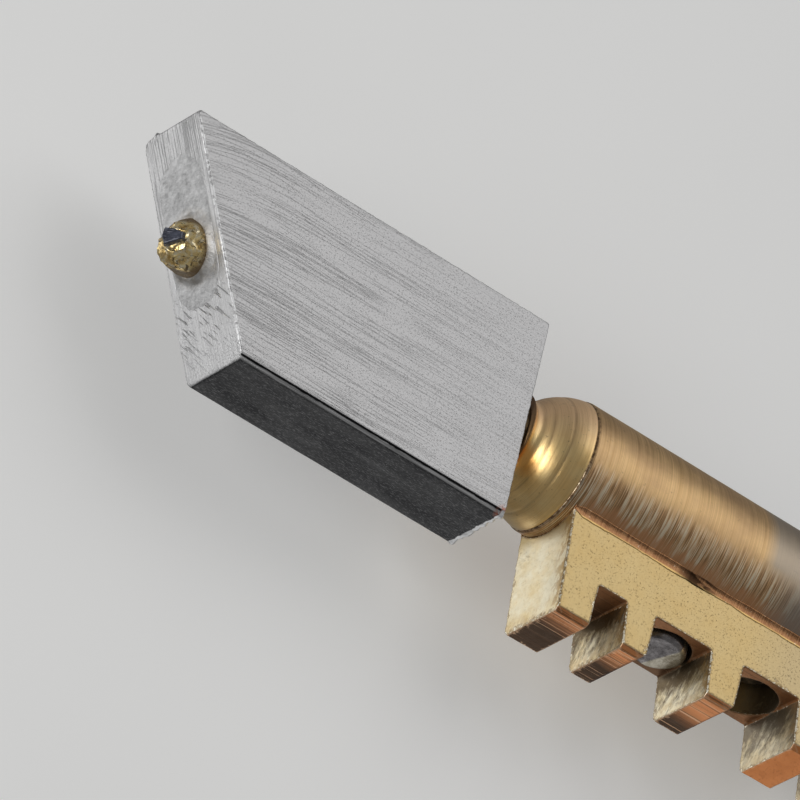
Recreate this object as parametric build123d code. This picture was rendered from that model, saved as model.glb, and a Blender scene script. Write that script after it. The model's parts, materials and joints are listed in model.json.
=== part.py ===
"""Diamond glass cutter: a swivelling steel head, a brass barrel with a glass-breaking comb, a wooden handle.

Millimetres. The cutter lies on its side. +X runs from the nose to the butt of the handle, +Y points away
from the comb and +Z is up. The origin lies on the head's lower side, which slides along the ruler, directly
under the barrel's axis. The pieces are drawn about that axis, with x = 0 at the barrel's front rim, and moved
to the origin when they are written out.
"""

import os
from math import cos, radians, sin, sqrt

from build123d import *

# Driving dimensions: where the barrel's front rim lies, seen from the origin
RIM_X = 15.0

# Driving dimensions: head
HEAD_THICKNESS = 5.5
HEAD_ABOVE_AXIS = 6.95  # towards +Y
HEAD_BELOW_AXIS = 6.88
HEAD_BACK_LENGTH = 26.8  # along the edge at +Y
HEAD_FRONT_LENGTH = 19.74  # along the edge at -Y, which runs on the glass
HEAD_REAR_X = -3.95
CORNER_RADIUS = 0.25
EDGE_CHAMFER = 0.27

# Driving dimensions: the diamond's setting in the nose
POCKET_LENGTH = 9.0
POCKET_WIDTH = 4.2
POCKET_DEPTH = 1.3
POCKET_SHIFT = -1.0  # towards the back edge
STUD_RADIUS = 1.2
STUD_DEPTH = 5.5
BEAD_RADIUS = 1.78
BEAD_HEIGHT = 2.2
STONE_HALF = 0.95
STONE_PROUD = 0.1  # how far the stone's point stands out of the bead
STONE_SHIFT = (-0.4, 0.45)  # towards the back edge and the upper side

# Driving dimensions: swivel
STEM_RADIUS = 1.65
STEM_DEPTH = 10.0  # length held in the head
STEM_REAR_X = 17.0
STEM_FLAT = 0.88  # from the axis to the flat that the stop pin faces
FLAT_LENGTH = 1.5
STEM_CHAMFER = 0.3
BRAZE_RADIUS = 2.3
BRAZE_DEPTH = 0.7
RUNNING_GAP = 0.05
SEAT_GAP = 0.02  # between pieces that are fixed together
WASHER_THICKNESS = 0.22
WASHER_RADIUS = 2.5

# Driving dimensions: barrel and the bush in its mouth
BARREL_RADIUS = 4.42
BARREL_BORE = 3.3
BARREL_LENGTH = 44.0
RIM_CHAMFER = 0.08
CRIMP_DEPTH = 0.25
CRIMP_RADIUS = 1.0
CRIMPS_X = (34.5, 38.5)
BUSH_NOSE = (-3.63, 3.05)  # x and radius of the flared lip behind the head
BUSH_COVE = (-3.15, 2.74)  # the narrowest place, behind the lip
BUSH_DOME_FRONT = (-2.6, 2.95)
BUSH_DOME_MIDDLE = (-1.4, 3.87)
BUSH_SHOULDER_RADIUS = 4.34
BUSH_REAR_X = 20.0

# Driving dimensions: comb
COMB_THICKNESS = 5.24
COMB_FRONT_X = 1.1  # at the tips of the teeth
COMB_TOP_X = 0.58  # at the top, where the front face leans forward
COMB_REAR_X = 26.1
COMB_FRONT_Y = -10.65
COMB_REAR_Y = -10.46
COMB_INSIDE_Y = -2.0  # anywhere inside the barrel
COMB_EDGE = 0.3  # bevel along the tips of the teeth
SLOT_CENTRES = (4.65, 10.1, 16.9, 22.6)
SLOT_WIDTHS = (2.15, 4.3, 4.3, 1.7)  # for panes of 2, 4, 4 and 1.5 mm
SLOT_FRONT_FLARE = 0.1  # how much each side opens towards the mouth
SLOT_REAR_FLARE = 0.33
SLOT_TOP_FRONT_Y = -7.75
SLOT_TOP_SLOPE = 0.03
SEAM_FRONT_X = 0.7
SEAM_RADIUS = 0.3
SEAM_DROP = 0.03

# Driving dimensions: pins that hold the comb, the bush and the stem
PIN_HOLE_RADIUS = 2.1
PIN_RADIUS = 1.78
PIN_TIP_RADIUS = 0.66
PIN_TIP_Y = -1.02
PIN_SHOULDER_Y = -2.1
PIN_ROUNDING = 0.3
STOP_PIN_END_Y = -7.8
RIVET_END_Y = -5.4

# Driving dimensions: handle
TENON_FRONT_X = 22.0
HANDLE_END_X = 145.0
HANDLE_SHOULDER = 4.75
HANDLE_OUTLINE = ((60.0, 5.7), (80.0, 7.2), (98.0, 7.7), (118.0, 6.9))
BUTT_X = 137.0
BUTT_RADIUS = 6.2
GROOVES_X = (47.0, 48.6)
GROOVE_RADIUS = 0.4
GROOVE_DEPTH = 0.25
HANDLE_PIN_X = 30.0
HANDLE_PIN_RADIUS = 0.85

# Sizes that follow from the ones above
BACK_Y = HEAD_ABOVE_AXIS
FRONT_Y = -HEAD_BELOW_AXIS
NOSE_BACK = (HEAD_REAR_X - HEAD_BACK_LENGTH, BACK_Y)
NOSE_FRONT = (HEAD_REAR_X - HEAD_FRONT_LENGTH, FRONT_Y)
NOSE_RUN = NOSE_FRONT[0] - NOSE_BACK[0]
NOSE_FALL = BACK_Y - FRONT_Y
NOSE = Plane(
    origin=(NOSE_BACK[0] + NOSE_RUN * BACK_Y / NOSE_FALL, 0, 0),
    x_dir=(NOSE_RUN, -NOSE_FALL, 0),
    z_dir=(-NOSE_FALL, -NOSE_RUN, 0),
)
ALONG_X = Plane(origin=(0, 0, 0), x_dir=(0, 1, 0), z_dir=(1, 0, 0))
TO_ORIGIN = Pos(RIM_X, 0, HEAD_THICKNESS / 2)


def rod(radius, x_from, x_to):
    """A cylinder on the barrel's axis."""
    return extrude(ALONG_X.offset(x_from) * Circle(radius), x_to - x_from)


def cross_rod(radius, x, y_from, y_to):
    """A cylinder along Y, in the comb's plane."""
    plane = Plane(origin=(x, y_from, 0), x_dir=(1, 0, 0), z_dir=(0, 1, 0))
    return extrude(plane * Circle(radius), y_to - y_from)


def slab(outline, thickness):
    """A flat plate of an outline in the XY plane, centred on the axis."""
    return extrude(make_face(outline), thickness / 2, both=True)


def nose_pocket(clearance):
    """The oval pocket in the nose that the solder fills."""
    oval = SlotOverall(POCKET_LENGTH + 2 * clearance, POCKET_WIDTH + 2 * clearance)
    return extrude(NOSE * Pos(POCKET_SHIFT, 0) * oval, -(POCKET_DEPTH + clearance))


def stud_hole(clearance):
    """The hole behind the pocket for the stud that carries the bead and the stone."""
    return extrude(NOSE * Circle(STUD_RADIUS + clearance), -(STUD_DEPTH + clearance))


def diamond():
    """A rough eight-sided crystal, tilted in its bead."""
    corners = [(STONE_HALF * cos(radians(a)), STONE_HALF * sin(radians(a)), 0) for a in (0, 90, 180, 270)]
    faces = []
    for i in range(4):
        side = [corners[i], corners[(i + 1) % 4]]
        for point in ((0, 0, STONE_HALF), (0, 0, -STONE_HALF)):
            faces.append(Face(Wire.make_polygon([*side, point], close=True)))
    crystal = Solid(Shell(faces))
    lift = BEAD_HEIGHT - STONE_HALF + STONE_PROUD
    return NOSE.location * Pos(*STONE_SHIFT, lift) * Rot(14, -18, 25) * crystal


def head_block():
    outline = Polyline(NOSE_BACK, (HEAD_REAR_X, BACK_Y), (HEAD_REAR_X, FRONT_Y), NOSE_FRONT, close=True)
    block = slab(outline, HEAD_THICKNESS)
    corners = block.edges().filter_by(Axis.Z).sort_by(Axis.Y)
    block = fillet(corners[-2:], CORNER_RADIUS)
    running_edges = block.edges().filter_by(Axis.X).group_by(Axis.Y)[0]
    block = chamfer(running_edges, EDGE_CHAMFER)
    block -= nose_pocket(0)
    block -= stud_hole(0)
    block -= rod(STEM_RADIUS + SEAT_GAP, HEAD_REAR_X - STEM_DEPTH - SEAT_GAP, 0)
    return block - rod(BRAZE_RADIUS, HEAD_REAR_X - BRAZE_DEPTH, 0)


def setting_solder():
    return nose_pocket(-SEAT_GAP) - stud_hole(0)


def setting_stud():
    return stud_hole(-SEAT_GAP)


def setting_bead():
    """The rounded bead of brass on the stud, closed over the stone."""
    waist = (BEAD_RADIUS * 0.9, BEAD_HEIGHT * 0.6)
    outline = Line((0, SEAT_GAP), (BEAD_RADIUS * 0.9, SEAT_GAP))
    outline += ThreePointArc((BEAD_RADIUS * 0.9, SEAT_GAP), (BEAD_RADIUS, BEAD_HEIGHT * 0.3), waist)
    outline += ThreePointArc(waist, (BEAD_RADIUS * 0.55, BEAD_HEIGHT * 0.92), (0, BEAD_HEIGHT))
    outline += Line((0, BEAD_HEIGHT), (0, SEAT_GAP))
    bead = revolve(Plane.XZ * make_face(outline), Axis.Z)
    return NOSE.location * bead - diamond()


def swivel_stem():
    """The stem, brazed into the head, with a short flat that the stop pin faces."""
    stem = rod(STEM_RADIUS, HEAD_REAR_X - STEM_DEPTH, STEM_REAR_X)
    stem = chamfer(stem.edges().sort_by(Axis.X)[-1], STEM_CHAMFER)
    notch = Box(FLAT_LENGTH, 2 * STEM_RADIUS, 4 * STEM_RADIUS)
    return stem - Pos(SLOT_CENTRES[1], -(STEM_FLAT + STEM_RADIUS), 0) * notch


def stem_braze():
    """The ring of braze in the head's rear face that holds the stem."""
    ring = rod(BRAZE_RADIUS - SEAT_GAP, HEAD_REAR_X - BRAZE_DEPTH + SEAT_GAP, HEAD_REAR_X)
    return ring - rod(STEM_RADIUS + SEAT_GAP, HEAD_REAR_X - BRAZE_DEPTH, HEAD_REAR_X)


def thrust_washer():
    x_from = HEAD_REAR_X + RUNNING_GAP
    x_to = x_from + WASHER_THICKNESS
    return rod(WASHER_RADIUS, x_from, x_to) - rod(STEM_RADIUS + RUNNING_GAP, x_from, x_to)


def neck_bush():
    """The domed nose that carries the stem, with a long spigot inside the barrel."""
    spigot = BARREL_BORE - SEAT_GAP
    nose_x = BUSH_NOSE[0]
    shoulder = (-SEAT_GAP, BUSH_SHOULDER_RADIUS)
    outline = Line((nose_x, 0), BUSH_NOSE)
    outline += ThreePointArc(BUSH_NOSE, BUSH_COVE, BUSH_DOME_FRONT)
    outline += ThreePointArc(BUSH_DOME_FRONT, BUSH_DOME_MIDDLE, shoulder)
    outline += Polyline(shoulder, (-SEAT_GAP, spigot), (BUSH_REAR_X, spigot), (BUSH_REAR_X, 0))
    outline += Line((BUSH_REAR_X, 0), (nose_x, 0))
    bush = revolve(make_face(outline), Axis.X)
    bush -= rod(STEM_RADIUS + RUNNING_GAP, nose_x, BUSH_REAR_X)
    bush -= cross_rod(PIN_TIP_RADIUS + SEAT_GAP, SLOT_CENTRES[1], -BARREL_RADIUS, 0)
    for x in SLOT_CENTRES[1:3]:
        bush -= cross_rod(PIN_RADIUS + SEAT_GAP, x, -BARREL_RADIUS, PIN_SHOULDER_Y + SEAT_GAP)
    return bush


def barrel():
    tube = rod(BARREL_RADIUS, 0, BARREL_LENGTH)
    tube = chamfer(tube.edges().filter_by(GeomType.CIRCLE), RIM_CHAMFER)
    tube -= rod(BARREL_BORE, 0, BARREL_LENGTH)
    for x in CRIMPS_X:
        crimp = Torus(BARREL_RADIUS + CRIMP_RADIUS - CRIMP_DEPTH, CRIMP_RADIUS)
        tube -= Pos(x, 0, 0) * Rot(0, 90, 0) * crimp
    for x in SLOT_CENTRES[1:3]:
        tube -= cross_rod(PIN_RADIUS + SEAT_GAP, x, -BARREL_RADIUS, PIN_SHOULDER_Y)
    return tube - handle_pin_hole(SEAT_GAP)


def handle_pin_hole(clearance):
    """The hole along Z through the barrel and the handle's tenon."""
    hole = Pos(HANDLE_PIN_X, 0) * Circle(HANDLE_PIN_RADIUS + clearance)
    return extrude(hole, BARREL_RADIUS, both=True)


def slot(centre, width):
    """One slot of the comb, wider at its mouth."""
    top_y = SLOT_TOP_FRONT_Y + SLOT_TOP_SLOPE * centre
    mouth_y = COMB_FRONT_Y
    half = width / 2
    top = [(centre - half, top_y), (centre + half, top_y)]
    mouth = [(centre + half + SLOT_REAR_FLARE, mouth_y), (centre - half - SLOT_FRONT_FLARE, mouth_y)]
    return slab(Polyline(*top, *mouth, close=True), 2 * COMB_THICKNESS)


def comb():
    top = [(COMB_TOP_X, COMB_INSIDE_Y), (COMB_REAR_X, COMB_INSIDE_Y)]
    bottom = [(COMB_REAR_X, COMB_REAR_Y), (COMB_FRONT_X, COMB_FRONT_Y)]
    block = slab(Polyline(*top, *bottom, close=True), COMB_THICKNESS)
    block = chamfer(block.edges().filter_by(Axis.X, tolerance=1).group_by(Axis.Y)[0], COMB_EDGE)
    block -= rod(BARREL_RADIUS + SEAT_GAP, 0, BARREL_LENGTH)
    for centre, width in zip(SLOT_CENTRES, SLOT_WIDTHS, strict=True):
        block -= slot(centre, width)
    for x in SLOT_CENTRES[1:3]:
        block -= cross_rod(PIN_HOLE_RADIUS, x, COMB_FRONT_Y, 0)
    return block


def comb_seam(sign):
    """The thin fillet of solder where one side of the comb meets the barrel."""
    side = COMB_THICKNESS / 2 + SEAT_GAP
    clear_radius = BARREL_RADIUS + SEAT_GAP
    meet_y = -sqrt(clear_radius**2 - side**2)
    section = Pos(meet_y - SEAM_DROP, sign * side) * Circle(SEAM_RADIUS)
    seam = extrude(ALONG_X.offset(SEAM_FRONT_X) * section, COMB_REAR_X - SEAM_FRONT_X)
    seam -= rod(clear_radius, 0, BARREL_LENGTH)
    return seam - Box(4 * BARREL_LENGTH, 4 * BARREL_RADIUS, 2 * side)


def stop_pin():
    """The pin in the second slot: it holds the comb and the bush, and its tip faces the stem's flat."""
    pin = cross_rod(PIN_RADIUS, SLOT_CENTRES[1], STOP_PIN_END_Y, PIN_SHOULDER_Y)
    pin = fillet(pin.edges().filter_by(GeomType.CIRCLE).sort_by(Axis.Y)[0], PIN_ROUNDING)
    return pin + cross_rod(PIN_TIP_RADIUS, SLOT_CENTRES[1], PIN_SHOULDER_Y - PIN_TIP_RADIUS, PIN_TIP_Y)


def comb_rivet():
    """The recessed rivet in the third slot."""
    pin = cross_rod(PIN_RADIUS, SLOT_CENTRES[2], RIVET_END_Y, PIN_SHOULDER_Y)
    return fillet(pin.edges().filter_by(GeomType.CIRCLE).sort_by(Axis.Y)[0], PIN_ROUNDING)


def handle():
    """Turned hardwood with a tenon in the barrel, a slim waist, a belly and a rounded butt."""
    tenon = BARREL_BORE - SEAT_GAP
    shoulder_x = BARREL_LENGTH + SEAT_GAP
    shoulder = (shoulder_x, HANDLE_SHOULDER)
    outline = Polyline((TENON_FRONT_X, 0), (TENON_FRONT_X, tenon), (shoulder_x, tenon), shoulder)
    outline += Spline([shoulder, *HANDLE_OUTLINE, (BUTT_X, BUTT_RADIUS)], tangents=[(1, 0), (1, 0)])
    outline += EllipticalCenterArc((BUTT_X, 0), HANDLE_END_X - BUTT_X, BUTT_RADIUS, 0, arc_size=90)
    outline += Line((HANDLE_END_X, 0), (TENON_FRONT_X, 0))
    wood = revolve(make_face(outline), Axis.X)
    for x in GROOVES_X:
        groove = Torus(HANDLE_SHOULDER + GROOVE_RADIUS - GROOVE_DEPTH, GROOVE_RADIUS)
        wood -= Pos(x, 0, 0) * Rot(0, 90, 0) * groove
    return wood - handle_pin_hole(SEAT_GAP)


def handle_pin():
    return handle_pin_hole(0) & rod(BARREL_RADIUS, 0, BARREL_LENGTH)


PIECES = {
    "head_block": head_block(),
    "setting_solder": setting_solder(),
    "setting_stud": setting_stud(),
    "setting_bead": setting_bead(),
    "diamond": diamond(),
    "swivel_stem": swivel_stem(),
    "stem_braze": stem_braze(),
    "thrust_washer": thrust_washer(),
    "neck_bush": neck_bush(),
    "barrel": barrel(),
    "comb": comb(),
    "comb_seam_upper": comb_seam(1),
    "comb_seam_lower": comb_seam(-1),
    "stop_pin": stop_pin(),
    "comb_rivet": comb_rivet(),
    "handle": handle(),
    "handle_pin": handle_pin(),
}

os.makedirs("parts", exist_ok=True)
for name, piece in PIECES.items():
    export_step(TO_ORIGIN * piece, f"parts/{name}.step")
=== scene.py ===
"""Looks of the glass cutter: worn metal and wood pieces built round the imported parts.

Blender works in metres. Shapes are worked in millimetres and scaled down when a piece is finished.
"""

import json
import math

import bmesh
import bpy
import numpy as np
from mathutils import Matrix, Vector, noise


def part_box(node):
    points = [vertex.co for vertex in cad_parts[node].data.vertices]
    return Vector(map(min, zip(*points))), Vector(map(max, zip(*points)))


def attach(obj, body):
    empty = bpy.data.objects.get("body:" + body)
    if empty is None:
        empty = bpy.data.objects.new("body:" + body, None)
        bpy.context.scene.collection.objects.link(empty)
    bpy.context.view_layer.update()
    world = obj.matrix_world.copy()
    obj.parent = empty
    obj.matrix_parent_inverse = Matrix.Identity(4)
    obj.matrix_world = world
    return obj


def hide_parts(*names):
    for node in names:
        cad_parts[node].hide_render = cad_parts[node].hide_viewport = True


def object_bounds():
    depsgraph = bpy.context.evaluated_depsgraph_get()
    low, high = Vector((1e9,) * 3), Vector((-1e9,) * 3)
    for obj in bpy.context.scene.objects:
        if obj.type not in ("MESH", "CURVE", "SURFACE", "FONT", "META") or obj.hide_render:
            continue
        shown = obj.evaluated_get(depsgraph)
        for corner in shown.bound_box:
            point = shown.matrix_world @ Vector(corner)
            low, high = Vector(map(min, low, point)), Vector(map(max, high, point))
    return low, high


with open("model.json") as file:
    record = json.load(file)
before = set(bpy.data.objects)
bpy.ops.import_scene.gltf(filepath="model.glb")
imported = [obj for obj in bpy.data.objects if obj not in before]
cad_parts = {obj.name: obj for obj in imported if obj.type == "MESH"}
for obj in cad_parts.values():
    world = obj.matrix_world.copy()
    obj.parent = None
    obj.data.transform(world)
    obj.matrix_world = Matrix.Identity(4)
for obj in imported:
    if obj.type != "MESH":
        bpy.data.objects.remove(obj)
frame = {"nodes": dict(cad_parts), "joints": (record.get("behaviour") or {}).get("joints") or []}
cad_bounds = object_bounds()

MM = 0.001
HEAD = "head"
HANDLE = "handle_and_barrel"
AXIS_Z = frame["joints"][0]["pos_m"][2] / MM  # height of the swivel axis
SAME_PLACE = 0.0005  # vertices nearer than this are one

# ---- frame places, in millimetres


def box(node):
    """Lowest and highest corner of a CAD node, in millimetres."""
    low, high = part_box(node)
    return low / MM, high / MM


HEAD_LOW, HEAD_HIGH = box("head_block")
BARREL_LOW, BARREL_HIGH = box("barrel")
COMB_LOW, COMB_HIGH = box("comb")
BEAD_LOW, BEAD_HIGH = box("setting_bead")
BEAD_REACH = (BEAD_HIGH.z - BEAD_LOW.z) / 2
BEAD_RISE = 2.3
STONE_OUT = Vector((0.15, 0.6, 0.78)).normalized()  # which way the stone faces: up, side, out
RIM_X = BARREL_LOW.x
BARREL_RADIUS = BARREL_HIGH.y
ROOT_Y = box("comb_seam_upper")[1].y  # where the comb's side meets the barrel
SCORED_LINES = (-2.3, -1.3)  # where the dome is scored, from the rim
TOOTH_BACKS = (7.87, 14.67)  # where the teeth before the two wide slots end, behind the rim
PIN_RIDGE = Vector((RIM_X + 10.55, 0, AXIS_Z))  # the filed ridge across the stop pin's end
PIN_SKEW = 0.2  # how far the ridge turns from straight across the comb


def nose_plane():
    """A point on the nose and the direction it faces, from the head's largest slanted face."""
    mesh = frame["nodes"]["head_block"].data
    forward, upright = -0.7, 0.01  # limits of X and Z in the direction that such a face looks
    slanted = [f for f in mesh.polygons if f.normal.x < forward and abs(f.normal.z) < upright]
    largest = max(slanted, key=lambda f: f.area)
    return largest.center / MM, largest.normal.copy()


NOSE_POINT, NOSE_OUT = nose_plane()
NOSE_SIDE = Vector((0, 0, 1))
NOSE_UP = NOSE_OUT.cross(NOSE_SIDE)  # along the nose, towards the back edge
if NOSE_UP.y < 0:
    NOSE_UP = -NOSE_UP


def nose_middle():
    """Where the setting's axis leaves the nose."""
    middle = (BEAD_LOW + BEAD_HIGH) / 2
    middle.z = AXIS_Z
    middle.y = 0
    step = (NOSE_POINT - middle).dot(NOSE_OUT) / NOSE_OUT.x
    return middle + Vector((step, 0, 0))


NOSE = nose_middle()

# ---- mesh work


def new_piece(name, mesh, body, replaced):
    """Adds a mesh drawn in millimetres as a smooth piece on a body, in place of CAD nodes."""
    mesh.transform(Matrix.Scale(MM, 4))
    mesh.polygons.foreach_set("use_smooth", [True] * len(mesh.polygons))
    mesh.update()
    piece = bpy.data.objects.new(name, mesh)
    bpy.context.scene.collection.objects.link(piece)
    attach(piece, body)
    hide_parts(*replaced)
    return piece


def remeshed(mesh, voxel):
    """The mesh rebuilt from small even faces, which softens its edges a little."""
    scratch = bpy.data.objects.new("scratch", mesh)
    bpy.context.scene.collection.objects.link(scratch)
    modifier = scratch.modifiers.new("remesh", "REMESH")
    modifier.mode = "VOXEL"
    modifier.voxel_size = voxel
    depsgraph = bpy.context.evaluated_depsgraph_get()
    fine = bpy.data.meshes.new_from_object(scratch.evaluated_get(depsgraph))
    bpy.data.objects.remove(scratch)
    return fine


def mesh_of(bm, name):
    """The finished mesh of a bmesh."""
    mesh = bpy.data.meshes.new(name)
    bm.to_mesh(mesh)
    bm.free()
    return mesh


def bridge(bm, rings):
    """Joins each ring of vertices to the next one with four-sided faces."""
    for a, b in zip(rings, rings[1:]):
        for i in range(len(a)):
            j = (i + 1) % len(a)
            bm.faces.new((a[i], a[j], b[j], b[i]))


def skin(bm, rings):
    """Closes rings of vertices into a solid, with a face across each end."""
    bridge(bm, rings)
    bm.faces.new(rings[0])
    bm.faces.new(rings[-1])
    bmesh.ops.recalc_face_normals(bm, faces=bm.faces)


def cad_mesh(node):
    """A copy of a CAD node's mesh in millimetres, with its seams closed."""
    bm = bmesh.new()
    bm.from_mesh(frame["nodes"][node].data)
    bmesh.ops.scale(bm, vec=(1 / MM,) * 3, verts=bm.verts)
    bmesh.ops.remove_doubles(bm, verts=bm.verts, dist=SAME_PLACE)
    return mesh_of(bm, node + "_fine")


def reshape(mesh, move):
    """Moves every vertex to move(place, normal)."""
    places = [move(v.co.copy(), v.normal.copy()) for v in mesh.vertices]
    mesh.vertices.foreach_set("co", np.array(places, np.float32).ravel())
    mesh.update()


def lumps(place, size, seed):
    """Smooth noise from -1 to 1 whose lumps are about size across. Each seed looks elsewhere."""
    across, up = 7.3, -3.1
    return noise.noise(place / size + Vector((seed, across * seed, up * seed)))


def uneven(place, *layers):
    """Layers of noise added up at one place. Each layer is (size, height, seed)."""
    return sum(height * lumps(place, size, seed) for size, height, seed in layers)


def roughened(mesh, *layers):
    """Pushes the surface in and out by noise. Each layer is (size, height)."""
    seeded = [(size, height, seed) for seed, (size, height) in enumerate(layers)]

    def move(place, normal):
        return place + normal * uneven(place, *seeded)

    reshape(mesh, move)
    return mesh


def rounded_off(place, side_a, side_b, radius):
    """Moves a place onto a rounded edge. Each side is (outward direction, depth below that side)."""
    out_a, depth_a = side_a
    out_b, depth_b = side_b
    gap_a, gap_b = radius - depth_a, radius - depth_b
    reach = math.hypot(gap_a, gap_b)
    if min(gap_a, gap_b) <= 0 or reach <= radius:
        return place
    return place - (out_a * gap_a + out_b * gap_b) * (1 - radius / reach)


def outer_profile(node, step, low_x, high_x):
    """Radii of a turned CAD node about the swivel axis, sampled along X."""
    clear_share = 0.6  # only points on the side away from the pins' holes
    same_ring = 0.002
    points = np.array([v.co for v in frame["nodes"][node].data.vertices]) / MM
    radius = np.hypot(points[:, 1], points[:, 2] - AXIS_Z)
    clear = points[:, 1] > clear_share * radius
    points, radius = points[clear], radius[clear]
    along = np.arange(low_x, high_x + step / 2, step)
    ring_x = np.unique(points[:, 0].round(3))
    ring_r = np.array([radius[np.abs(points[:, 0] - x) < same_ring].max() for x in ring_x])
    return along, np.interp(along, ring_x, ring_r)


def smoothed(radii, reach):
    """Each radius as the mean of its neighbours, as many as reach to each side."""
    count = 2 * reach + 1
    return np.convolve(np.pad(radii, reach, mode="edge"), np.ones(count) / count, "valid")


def turned(name, along, radii, around, inner=None):
    """A closed surface of revolution about the swivel axis; inner is the radius of its bore."""
    bm = bmesh.new()
    rings = []
    profile = list(zip(along, radii, strict=True))
    if inner is not None:
        profile = [(along[0], inner)] + profile + [(along[-1], inner)]
    for x, r in profile:
        ring = []
        for i in range(around):
            angle = 2 * math.pi * i / around
            ring.append(bm.verts.new((x, r * math.cos(angle), AXIS_Z + r * math.sin(angle))))
        rings.append(ring)
    if inner is None:
        skin(bm, rings)
    else:
        bridge(bm, rings + rings[:1])
        bmesh.ops.recalc_face_normals(bm, faces=bm.faces)
    return mesh_of(bm, name)


# ---- pieces


def head():
    """The steel block: worn edges, one edge knocked round near the nose, burrs, a faint unevenness."""
    mesh = remeshed(cad_mesh("head_block"), voxel=0.1)
    far_side, top = Vector((0, 0, -1)), Vector((0, 1, 0))
    walls = [  # near side, far side, top, foot, rear and nose: the way each looks, and its distance
        (Vector((0, 0, 1)), HEAD_HIGH.z),
        (far_side, -HEAD_LOW.z),
        (top, HEAD_HIGH.y),
        (Vector((0, -1, 0)), -HEAD_LOW.y),
        (Vector((1, 0, 0)), HEAD_HIGH.x),
        (NOSE_OUT, NOSE.dot(NOSE_OUT)),
    ]
    skin_depth = 0.2  # deeper places lie inside the block and stay
    worn_width, burr_width, ragged_width = 0.3, 0.15, 0.18
    knock_radius, knock_length, knock_least = 1.2, 3.5, 0.2
    nib_inset, nib_height, nib_width = 1.25, 0.2, 0.3

    def move(place, normal):
        depths = [distance - out.dot(place) for out, distance in walls]
        far, high, foot, rear, nose = depths[1:]
        nearest, second = sorted(depths)[:2]
        if nearest > skin_depth:
            return place
        edge = max(0.0, 1 - max(second, 0) / worn_width)
        wear = 0.01 + 0.05 * abs(lumps(place, 0.9, 2)) + 0.03 * abs(lumps(place, 0.3, 5))
        burr = 0.07 * max(0.0, lumps(place, 0.2, 9)) * max(0.0, 1 - second / burr_width)
        ragged = math.exp(-((math.hypot(foot, rear) / ragged_width) ** 2))
        ragged *= 0.07 + 0.2 * lumps(place, 0.4, 8)
        wave = uneven(place, (4.0, 0.01, 3), (0.5, 0.005, 4))
        knock = knock_radius * max(knock_least, 1 - max(nose, 0) / knock_length)
        place = rounded_off(place, (far_side, far), (top, high), knock)
        from_nib = math.hypot(high, far - nib_inset) + nose
        nib = nib_height * math.exp(-((from_nib / nib_width) ** 2)) * (1 + lumps(place, 0.2, 6))
        return place + normal * (wave + burr + nib + ragged - wear * edge**3)

    reshape(mesh, move)
    return new_piece("head_block_worn", mesh, HEAD, ["head_block"])


def solder_patch():
    """A thin oval of solder on the nose that rises in a fillet round the bead."""
    low, high = box("setting_solder")
    shorter, wider, above_bead = 0.1, 0.12, 1.0  # against the pocket, and against the bead
    half_long = (high - low).dot(Vector((abs(NOSE_UP.x), abs(NOSE_UP.y), 0))) / 2 - shorter
    half_wide = (high.z - low.z) / 2 + wider
    middle = NOSE + NOSE_UP * above_bead
    straight = half_long - half_wide
    proud, rim_drop, root = 0.02, 0.05, 0.4
    fillet_rise, fillet_width = 0.25, 0.25
    steps, around = 44, 120
    centre_gap = 0.002  # the innermost ring shrinks to one vertex
    bm = bmesh.new()
    rings = []
    for i in range(steps + 1):
        share = i / steps
        ring = []
        for k in range(around):
            angle = 2 * math.pi * k / around
            wobble = 1 + 0.06 * noise.noise(Vector((math.cos(angle), math.sin(angle), 1.7)) * 1.6)
            up = math.cos(angle) * half_wide * wobble * share
            up += math.copysign(straight, math.cos(angle)) * share * min(1, abs(math.cos(angle)) * 3)
            side = math.sin(angle) * half_wide * wobble * share
            place = middle + NOSE_UP * up + NOSE_SIDE * side
            from_bead = (place - NOSE).length - BEAD_REACH
            lift = proud - rim_drop * share**16
            lift += fillet_rise * math.exp(-((max(from_bead, 0) / fillet_width) ** 2))
            lift += uneven(place, (0.7, 0.02, 1), (0.3, 0.015, 4))
            ring.append(bm.verts.new(place + NOSE_OUT * lift))
        rings.append(ring)
    foot = [bm.verts.new(v.co - NOSE_OUT * root) for v in rings[-1]]
    rings.append(foot)
    bridge(bm, rings)
    bm.faces.new(foot)
    bmesh.ops.remove_doubles(bm, verts=bm.verts, dist=centre_gap)
    bmesh.ops.recalc_face_normals(bm, faces=bm.faces)
    return new_piece("nose_solder", mesh_of(bm, "nose_solder"), HEAD, ["setting_solder"])


def on_nose(up, side, out):
    """A place given along the nose, across it and out of it, from the setting's axis."""
    return NOSE + NOSE_UP * up + NOSE_SIDE * side + NOSE_OUT * out


def cut_ball(radius, rise, cuts, bevel):
    """A flattened ball with flat cuts, bevelled, standing on the nose."""
    bm = bmesh.new()
    bmesh.ops.create_icosphere(bm, subdivisions=5, radius=1.0)
    for direction, distance in cuts:
        geometry = bm.verts[:] + bm.edges[:] + bm.faces[:]
        out = Vector(direction).normalized()
        cut = bmesh.ops.bisect_plane(
            bm, geom=geometry, plane_co=out * distance, plane_no=out, clear_outer=True
        )
        rim = [g for g in cut["geom_cut"] if isinstance(g, bmesh.types.BMEdge)]
        bmesh.ops.holes_fill(bm, edges=rim)
    for v in bm.verts:
        up, side, out = v.co
        v.co = on_nose(up * radius, side * radius, out * rise)
    bmesh.ops.triangulate(bm, faces=bm.faces)
    return remeshed(mesh_of(bm, "ball"), bevel)


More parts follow.
